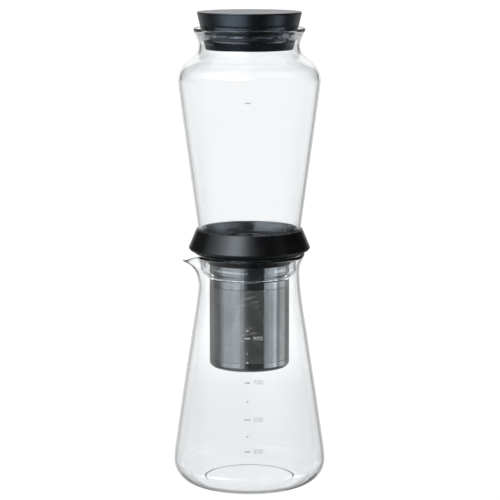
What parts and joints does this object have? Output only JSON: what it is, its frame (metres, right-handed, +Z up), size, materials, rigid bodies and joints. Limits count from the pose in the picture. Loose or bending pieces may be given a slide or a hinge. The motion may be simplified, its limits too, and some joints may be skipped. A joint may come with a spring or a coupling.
{
  "type": "cold brew coffee maker",
  "caption": "Slow-drip cold brew maker: glass server with a pulled spout, steel strainer in a black collar, glass water bowl in a black holder ring, and a tapered black lid.",
  "frame": {"origin": "on the axis at the level of the surface the server stands on", "axes": "+Z up along the axis of the stack, -X towards the pouring spout, -Y towards the volume marks"},
  "size_m": [0.1156, 0.1156, 0.3597],
  "materials": {
    "clear_glass": "clear, thin, fire-polished",
    "black_plastic": "fine satin moulding",
    "polished_steel": "bright rolled stainless sheet",
    "clear_silicone": "clear, slightly frosted silicone"
  },
  "bodies": {
    "server": {"server_glass": "clear_glass"},
    "strainer": {"collar_packing": "clear_silicone", "strainer_collar": "black_plastic", "strainer_band": "polished_steel", "strainer_screen": "polished_steel", "strainer_cup": "polished_steel"},
    "spreader": {"spreader_plate": "polished_steel"},
    "bowl": {"holder_ring": "black_plastic", "bowl_packing": "clear_silicone", "water_bowl_glass": "clear_glass", "nozzle_packing": "clear_silicone", "drip_nozzle": "black_plastic", "nozzle_nut": "black_plastic"},
    "lid": {"lid_shell": "black_plastic", "lid_packing": "clear_silicone"}
  },
  "joints": [
    {"name": "strainer_lift", "type": "slide", "parent": "server", "child": "strainer", "axis": [0, 0, 1], "range_m": [0, 0.095]},
    {"name": "spreader_lift", "type": "slide", "parent": "strainer", "child": "spreader", "axis": [0, 0, 1], "range_m": [0, 0.003]},
    {"name": "bowl_lift", "type": "slide", "parent": "strainer", "child": "bowl", "axis": [0, 0, 1], "range_m": [0, 0.06]},
    {"name": "lid_lift", "type": "slide", "parent": "bowl", "child": "lid", "axis": [0, 0, 1], "range_m": [0, 0.05]}
  ]
}
